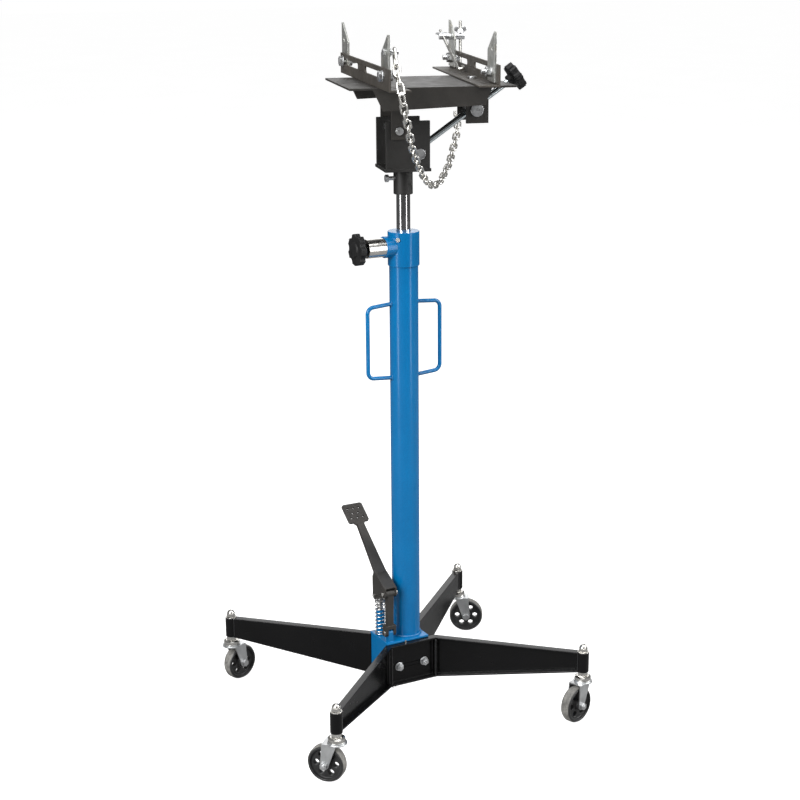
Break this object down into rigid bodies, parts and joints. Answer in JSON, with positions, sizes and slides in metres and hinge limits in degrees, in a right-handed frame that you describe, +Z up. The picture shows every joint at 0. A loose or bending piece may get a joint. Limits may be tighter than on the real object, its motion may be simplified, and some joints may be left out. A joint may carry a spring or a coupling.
{
  "type": "transmission jack",
  "caption": "Floor-standing hydraulic transmission jack: splayed legs on swivel casters, tall column with foot pump, chromed ram and tilting slotted table with blades and chain.",
  "frame": {"origin": "on the floor, on the column's axis", "axes": "+Z up, +X along the front cross-member, -Y the front"},
  "size_m": [0.6499, 0.5747, 1.3703],
  "materials": {
    "blue_paint": "gloss",
    "black_paint": "gloss",
    "dark_satin": "satin",
    "zinc": "bright zinc plate",
    "wheel_plastic": "satin",
    "blade_steel": "zinc plate",
    "chrome_rod": "polished",
    "plated_nickel": "bright",
    "bare_steel": "ground",
    "bush_iron": "machined",
    "seal_rubber": "matt",
    "knob_plastic": "satin"
  },
  "bodies": {
    "base": {"base_block": "blue_paint", "front_leg_frame": "black_paint", "rear_leg_frame": "black_paint", "frame_bolts": "zinc", "caster_stems": "zinc", "caster_nuts": "zinc", "outer_column": "blue_paint", "column_collar": "blue_paint", "side_handles": "blue_paint", "inner_cylinder": "bare_steel", "ram_guide_bush": "bush_iron", "wiper_seal": "seal_rubber", "plug_screws": "zinc", "release_valve_body": "plated_nickel", "pump_barrel": "blue_paint", "fulcrum_pin": "zinc", "pump_spring": "zinc"},
    "ram": {"ram_rod": "chrome_rod", "ram_piston": "bare_steel"},
    "release_control": {"release_spindle": "plated_nickel", "release_knob": "knob_plastic"},
    "fulcrum": {"fulcrum_link": "black_paint"},
    "pedal": {"foot_pedal": "black_paint", "pedal_pins": "zinc"},
    "plunger": {"pump_plunger": "zinc"},
    "saddle": {"head_bracket": "dark_satin", "tilt_pivot_bolts": "zinc"},
    "clamp": {"clamp_bolt": "zinc"},
    "anchor": {"screw_anchor": "zinc"},
    "table": {"tilt_table": "dark_satin", "safety_chain": "zinc"},
    "trunnion": {"screw_trunnion": "zinc"},
    "screw": {"tilt_screw": "chrome_rod", "tilt_knob": "knob_plastic"},
    "caster_fl": {"caster_fork_fl": "zinc"},
    "wheel_fl": {"caster_wheel_fl": "wheel_plastic"},
    "caster_rl": {"caster_fork_rl": "zinc"},
    "wheel_rl": {"caster_wheel_rl": "wheel_plastic"},
    "caster_fr": {"caster_fork_fr": "zinc"},
    "wheel_fr": {"caster_wheel_fr": "wheel_plastic"},
    "caster_rr": {"caster_fork_rr": "zinc"},
    "wheel_rr": {"caster_wheel_rr": "wheel_plastic"},
    "rail_slider_left": {"rail_bolt_left": "zinc"},
    "rail_left": {"rail_left": "dark_satin"},
    "blade_clamp_left_front": {"blade_bolt_left_front": "zinc"},
    "blade_left_front": {"blade_left_front": "blade_steel", "chain_bolt": "zinc"},
    "blade_clamp_left_rear": {"blade_bolt_left_rear": "zinc"},
    "blade_left_rear": {"blade_left_rear": "blade_steel"},
    "rail_slider_right": {"rail_bolt_right": "zinc"},
    "rail_right": {"rail_right": "dark_satin"},
    "blade_clamp_right_front": {"blade_bolt_right_front": "zinc"},
    "blade_right_front": {"blade_right_front": "blade_steel"},
    "blade_clamp_right_rear": {"blade_bolt_right_rear": "zinc"},
    "blade_right_rear": {"blade_right_rear": "blade_steel"},
    "hook_pivot_outer": {"hook_block_outer": "zinc"},
    "hook_outer": {"hook_bolt_outer": "zinc"},
    "hook_pivot_inner": {"hook_block_inner": "zinc"},
    "hook_inner": {"hook_bolt_inner": "zinc"}
  },
  "joints": [
    {"name": "caster_swivel_fl", "type": "hinge", "parent": "base", "child": "caster_fl", "pos_m": [-0.284, -0.257, 0.08], "axis": [0, 0, 1], "continuous": true},
    {"name": "wheel_spin_fl", "type": "hinge", "parent": "caster_fl", "child": "wheel_fl", "pos_m": [-0.29754, -0.24228, 0.0375], "axis": [-0.7361, -0.6769, 0], "continuous": true},
    {"name": "caster_swivel_rl", "type": "hinge", "parent": "base", "child": "caster_rl", "pos_m": [-0.284, 0.257, 0.08], "axis": [0, 0, 1], "continuous": true},
    {"name": "wheel_spin_rl", "type": "hinge", "parent": "caster_rl", "child": "wheel_rl", "pos_m": [-0.26504, 0.26338, 0.0375], "axis": [-0.319, 0.9478, 0], "continuous": true},
    {"name": "caster_swivel_fr", "type": "hinge", "parent": "base", "child": "caster_fr", "pos_m": [0.268, -0.257, 0.08], "axis": [0, 0, 1], "continuous": true},
    {"name": "wheel_spin_fr", "type": "hinge", "parent": "caster_fr", "child": "wheel_fr", "pos_m": [0.24894, -0.26305, 0.0375], "axis": [0.3024, -0.9532, 0], "continuous": true},
    {"name": "caster_swivel_rr", "type": "hinge", "parent": "base", "child": "caster_rr", "pos_m": [0.268, 0.257, 0.08], "axis": [0, 0, 1], "continuous": true},
    {"name": "wheel_spin_rr", "type": "hinge", "parent": "caster_rr", "child": "wheel_rr", "pos_m": [0.28542, 0.24718, 0.0375], "axis": [0.4909, 0.8712, 0], "continuous": true},
    {"name": "ram_lift", "type": "slide", "parent": "base", "child": "ram", "axis": [0, 0, 1], "range_m": [-0.068, 0.65]},
    {"name": "release_turn", "type": "hinge", "parent": "base", "child": "release_control", "pos_m": [-0.082, 0, 0.9578], "axis": [1, 0, 0], "range_deg": [-90, 90]},
    {"name": "fulcrum_rock", "type": "hinge", "parent": "base", "child": "fulcrum", "pos_m": [-0.052, -0.026, 0.1678], "axis": [1, 0, 0], "range_deg": [-9.6, 0]},
    {"name": "pedal_press", "type": "hinge", "parent": "fulcrum", "child": "pedal", "pos_m": [-0.052, -0.026, 0.2528], "axis": [1, 0, 0], "range_deg": [-20.5, 0], "stiffness_Nm_per_rad": 3, "springref_deg": 28.65, "deforming": ["pump_spring"]},
    {"name": "pump_stroke", "type": "slide", "parent": "base", "child": "plunger", "axis": [0, 0, 1], "range_m": [-0.0198, 0]},
    {"name": "saddle_swivel", "type": "hinge", "parent": "ram", "child": "saddle", "pos_m": [0, 0, 1.0588], "axis": [0, 0, 1], "continuous": true},
    {"name": "clamp_turn", "type": "hinge", "parent": "saddle", "child": "clamp", "pos_m": [-0.01806, 0.00484, 1.0893], "axis": [0.9659, -0.2588, 0], "range_deg": [-180, 180]},
    {"name": "table_tilt", "type": "hinge", "parent": "saddle", "child": "table", "pos_m": [-0.01739, 0.00466, 1.1843], "axis": [0.2588, 0.9659, 0], "range_deg": [-12, 12], "deforming": ["safety_chain"]},
    {"name": "anchor_turn", "type": "hinge", "parent": "saddle", "child": "anchor", "pos_m": [0.02222, -0.00595, 1.1393], "axis": [0.2588, 0.9659, 0], "range_deg": [-12.8, 12.8]},
    {"name": "trunnion_turn", "type": "hinge", "parent": "table", "child": "trunnion", "pos_m": [0.13233, -0.03546, 1.2183], "axis": [0.2588, 0.9659, 0], "range_deg": [-0.8, 0.8]},
    {"name": "screw_spin", "type": "hinge", "parent": "trunnion", "child": "screw", "pos_m": [0.13233, -0.03546, 1.2183], "axis": [0.7939, -0.2127, 0.5696], "continuous": true},
    {"name": "rail_slide_left", "type": "slide", "parent": "table", "child": "rail_slider_left", "axis": [0.9659, -0.2588, 0], "range_m": [-0.058, 0.006]},
    {"name": "rail_swivel_left", "type": "hinge", "parent": "rail_slider_left", "child": "rail_left", "pos_m": [-0.05119, 0.01372, 1.2713], "axis": [0, 0, 1], "range_deg": [-6, 6]},
    {"name": "blade_slide_left_front", "type": "slide", "parent": "rail_left", "child": "blade_clamp_left_front", "axis": [0.2588, 0.9659, 0], "range_m": [-0.007, 0.15]},
    {"name": "blade_turn_left_front", "type": "hinge", "parent": "blade_clamp_left_front", "child": "blade_left_front", "pos_m": [-0.10887, -0.13854, 1.2963], "axis": [0.9659, -0.2588, 0], "range_deg": [-5, 5]},
    {"name": "blade_slide_left_rear", "type": "slide", "parent": "rail_left", "child": "blade_clamp_left_rear", "axis": [0.2588, 0.9659, 0], "range_m": [-0.14, 0.003]},
    {"name": "blade_turn_left_rear", "type": "hinge", "parent": "blade_clamp_left_rear", "child": "blade_left_rear", "pos_m": [-0.01233, 0.22175, 1.2963], "axis": [0.9659, -0.2588, 0], "range_deg": [-5, 5]},
    {"name": "rail_slide_right", "type": "slide", "parent": "table", "child": "rail_slider_right", "axis": [0.9659, -0.2588, 0], "range_m": [-0.006, 0.03]},
    {"name": "rail_swivel_right", "type": "hinge", "parent": "rail_slider_right", "child": "rail_right", "pos_m": [0.13137, -0.0352, 1.2713], "axis": [0, 0, 1], "range_deg": [-6, 6]},
    {"name": "blade_slide_right_front", "type": "slide", "parent": "rail_right", "child": "blade_clamp_right_front", "axis": [0.309, 0.9511, 0], "range_m": [-0.001, 0.09]},
    {"name": "blade_turn_right_front", "type": "hinge", "parent": "blade_clamp_right_front", "child": "blade_right_front", "pos_m": [0.11288, -0.14485, 1.2963], "axis": [0.9511, -0.309, 0], "range_deg": [-5, 5]},
    {"name": "blade_slide_right_rear", "type": "slide", "parent": "rail_right", "child": "blade_clamp_right_rear", "axis": [0.309, 0.9511, 0], "range_m": [-0.08, 0.013]},
    {"name": "blade_turn_right_rear", "type": "hinge", "parent": "blade_clamp_right_rear", "child": "blade_right_rear", "pos_m": [0.22659, 0.20514, 1.2963], "axis": [0.9511, -0.309, 0], "range_deg": [-5, 1]},
    {"name": "hook_turn_outer", "type": "hinge", "parent": "blade_right_rear", "child": "hook_pivot_outer", "pos_m": [0.24397, 0.20685, 1.3383], "axis": [0.9511, -0.309, 0], "range_deg": [-20, 20]},
    {"name": "hook_slide_outer", "type": "slide", "parent": "hook_pivot_outer", "child": "hook_outer", "axis": [0, 0, 1], "range_m": [-0.008, 0.008]},
    {"name": "hook_turn_inner", "type": "hinge", "parent": "blade_right_rear", "child": "hook_pivot_inner", "pos_m": [0.20974, 0.21797, 1.3383], "axis": [0.9511, -0.309, 0], "range_deg": [-25, 1.5]},
    {"name": "hook_slide_inner", "type": "slide", "parent": "hook_pivot_inner", "child": "hook_inner", "axis": [0.2922, 0.8992, 0.3256], "range_m": [-0.008, 0.008]}
  ],
  "couplings": [
    {"joint": "fulcrum_rock", "follows": "pedal_press", "ratio": 0.46341},
    {"joint": "pump_stroke", "follows": "pedal_press", "m_per_rad": 0.054221},
    {"joint": "anchor_turn", "follows": "table_tilt", "ratio": 1.06},
    {"joint": "trunnion_turn", "follows": "table_tilt", "ratio": 0.06}
  ]
}
